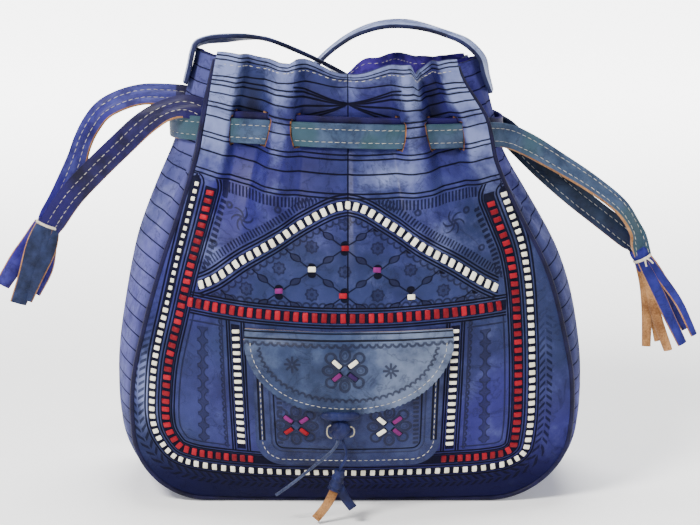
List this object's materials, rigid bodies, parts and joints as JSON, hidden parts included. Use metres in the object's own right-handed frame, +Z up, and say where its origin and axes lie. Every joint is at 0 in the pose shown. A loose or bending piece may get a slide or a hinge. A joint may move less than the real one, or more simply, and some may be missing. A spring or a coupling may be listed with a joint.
{
  "type": "gathered leather bag",
  "caption": "Gathered leather shoulder bag with a laced and tooled front, flap pocket, knotted toggle, flat tie straps with tassels and a shoulder strap.",
  "frame": {"origin": "middle of the flat base, on its underside", "axes": "+Z up, -Y out of the laced front, +X to the right as seen from the front"},
  "size_m": [0.4899, 0.2329, 0.3158],
  "materials": {
    "front_leather": "waxed, tooled and laced",
    "body_leather": "waxed, with tooled lines",
    "welt_leather": "waxed",
    "pocket_leather": "waxed, tooled and laced",
    "knot_leather": "waxed",
    "raw_leather": "raw suede",
    "violet_strap": "waxed, sewn in two rows",
    "teal_strap": "waxed, sewn in two rows",
    "tassel_leather": "dyed grain over raw suede",
    "thread": "waxed thread",
    "shoulder_leather": "waxed"
  },
  "bodies": {
    "root": {"front_panel": "front_leather", "back_panel": "body_leather", "gusset": "body_leather", "front_welt": "welt_leather", "back_welt": "welt_leather", "pocket_body": "pocket_leather", "pocket_flap": "pocket_leather", "toggle_knot": "knot_leather", "flap_loop": "knot_leather", "toggle_lace": "knot_leather", "toggle_tail": "knot_leather", "tail_wrap": "knot_leather", "tail_end": "raw_leather", "tie_strap_left": "violet_strap", "tie_strap_right": "teal_strap", "tassel_left": "tassel_leather", "tassel_right": "tassel_leather", "tassel_left_thread": "thread", "tassel_right_thread": "thread", "shoulder_strap": "shoulder_leather"}
  },
  "joints": []
}
